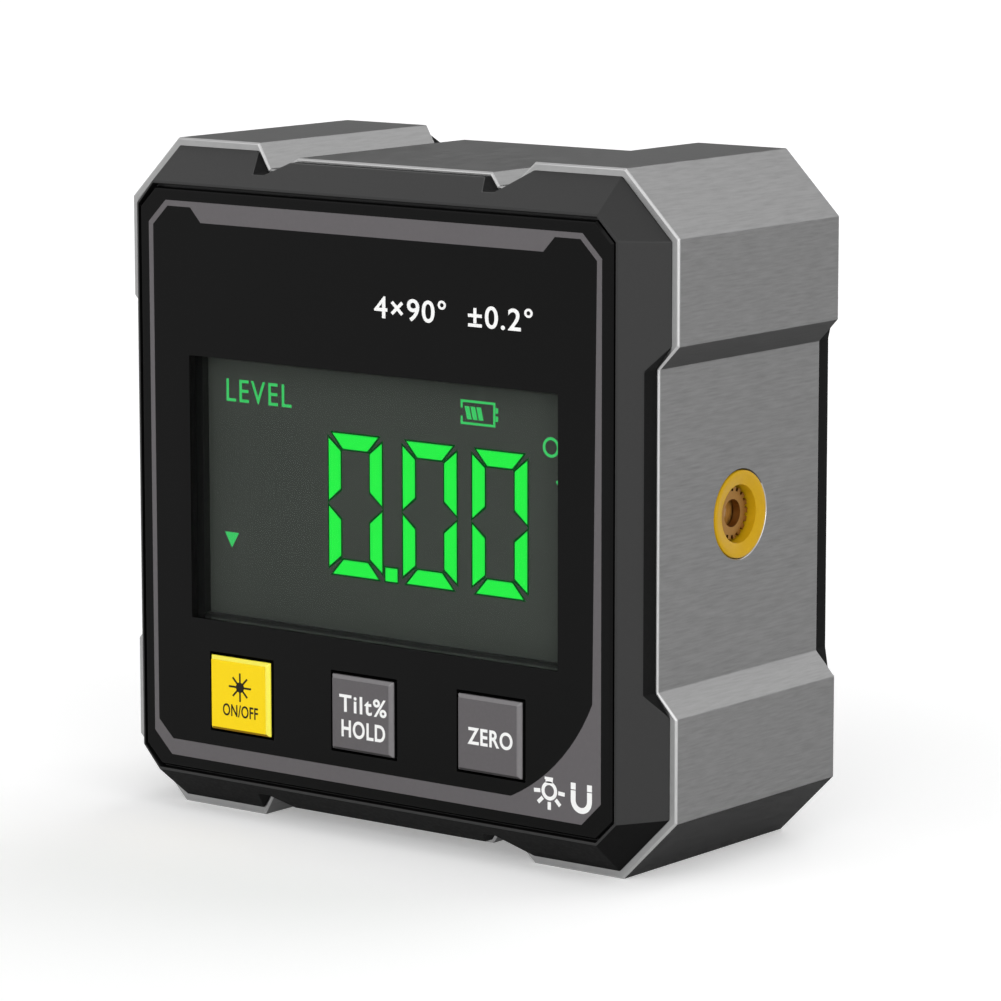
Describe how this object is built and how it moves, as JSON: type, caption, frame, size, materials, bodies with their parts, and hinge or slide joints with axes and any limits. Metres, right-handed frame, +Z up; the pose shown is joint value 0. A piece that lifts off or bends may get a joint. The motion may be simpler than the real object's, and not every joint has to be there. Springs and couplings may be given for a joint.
{
  "type": "digital inclinometer",
  "caption": "Pocket digital inclinometer with a square aluminium housing, a display and push buttons in front, laser ports in the sides and a magnetic base.",
  "frame": {"origin": "middle of the object's base, on the surface it stands on", "axes": "+Z up, -Y towards the reader of the display, +X to the reader's right"},
  "size_m": [0.06, 0.0308, 0.06],
  "materials": {
    "housing_aluminium": "fine brushed grain along the depth, grey",
    "magnet_nickel": "nickel plated",
    "black_plastic": "satin black moulding",
    "panel_gloss": "gloss black panel with grey print",
    "clear_window": "clear acrylic",
    "display_grey": "dark display glass with lit green segments",
    "white_plastic": "white light guide",
    "elastomer": "pink layered elastomer",
    "screw_steel": "blackened steel",
    "circuit_board": "green solder mask",
    "chip_black": "black moulded package",
    "button_yellow": "satin yellow",
    "button_grey": "satin mid grey",
    "cell_wrap": "plain printed sleeve",
    "port_yellow": "amber yellow ring",
    "laser_brass": "turned brass",
    "laser_lens": "coated lens",
    "lead_sleeve": "red wire sleeve"
  },
  "bodies": {
    "instrument": {"housing": "housing_aluminium", "base_magnet_1": "magnet_nickel", "base_magnet_2": "magnet_nickel", "base_magnet_3": "magnet_nickel", "base_magnet_4": "magnet_nickel", "front_bezel": "black_plastic", "front_panel": "panel_gloss", "display_window": "clear_window", "display_glass": "display_grey", "display_backlight": "white_plastic", "zebra_strip_upper": "elastomer", "zebra_strip_lower": "elastomer", "bezel_screw_1": "screw_steel", "bezel_screw_2": "screw_steel", "bezel_screw_3": "screw_steel", "bezel_screw_4": "screw_steel", "main_board": "circuit_board", "board_screw_1": "screw_steel", "board_screw_2": "screw_steel", "board_screw_3": "screw_steel", "board_screw_4": "screw_steel", "processor": "chip_black", "tilt_sensor": "chip_black", "on_off_switch": "chip_black", "hold_switch": "chip_black", "zero_switch": "chip_black", "rear_cover": "black_plastic", "rear_screw_1": "screw_steel", "rear_screw_2": "screw_steel", "rear_screw_3": "screw_steel", "rear_screw_4": "screw_steel", "battery_cell_left": "cell_wrap", "battery_spring_left": "magnet_nickel", "upper_contact_left": "magnet_nickel", "battery_cell_right": "cell_wrap", "battery_spring_right": "magnet_nickel", "upper_contact_right": "magnet_nickel", "lower_link_contact": "magnet_nickel", "laser_port_ring_left": "port_yellow", "laser_barrel_left": "laser_brass", "laser_aperture_left": "laser_brass", "laser_lens_left": "laser_lens", "laser_board_left": "circuit_board", "laser_port_ring_right": "port_yellow", "laser_barrel_right": "laser_brass", "laser_aperture_right": "laser_brass", "laser_lens_right": "laser_lens", "laser_board_right": "circuit_board", "laser_lead_left": "lead_sleeve", "laser_lead_right": "lead_sleeve", "battery_lead_left": "lead_sleeve", "battery_lead_right": "lead_sleeve"},
    "on_off_key": {"on_off_button": "button_yellow", "on_off_switch_stem": "button_grey"},
    "hold_key": {"hold_button": "button_grey", "hold_switch_stem": "button_grey"},
    "zero_key": {"zero_button": "button_grey", "zero_switch_stem": "button_grey"},
    "door": {"battery_door": "black_plastic"}
  },
  "joints": [
    {"name": "on_off_press", "type": "slide", "parent": "instrument", "child": "on_off_key", "axis": [0, 1, 0], "range_m": [0, 0.0004], "stiffness_N_per_m": 1000},
    {"name": "hold_press", "type": "slide", "parent": "instrument", "child": "hold_key", "axis": [0, 1, 0], "range_m": [0, 0.0004], "stiffness_N_per_m": 1000},
    {"name": "zero_press", "type": "slide", "parent": "instrument", "child": "zero_key", "axis": [0, 1, 0], "range_m": [0, 0.0004], "stiffness_N_per_m": 1000},
    {"name": "battery_door_slide", "type": "slide", "parent": "instrument", "child": "door", "axis": [0, 0, 1], "range_m": [0, 0.04]}
  ]
}
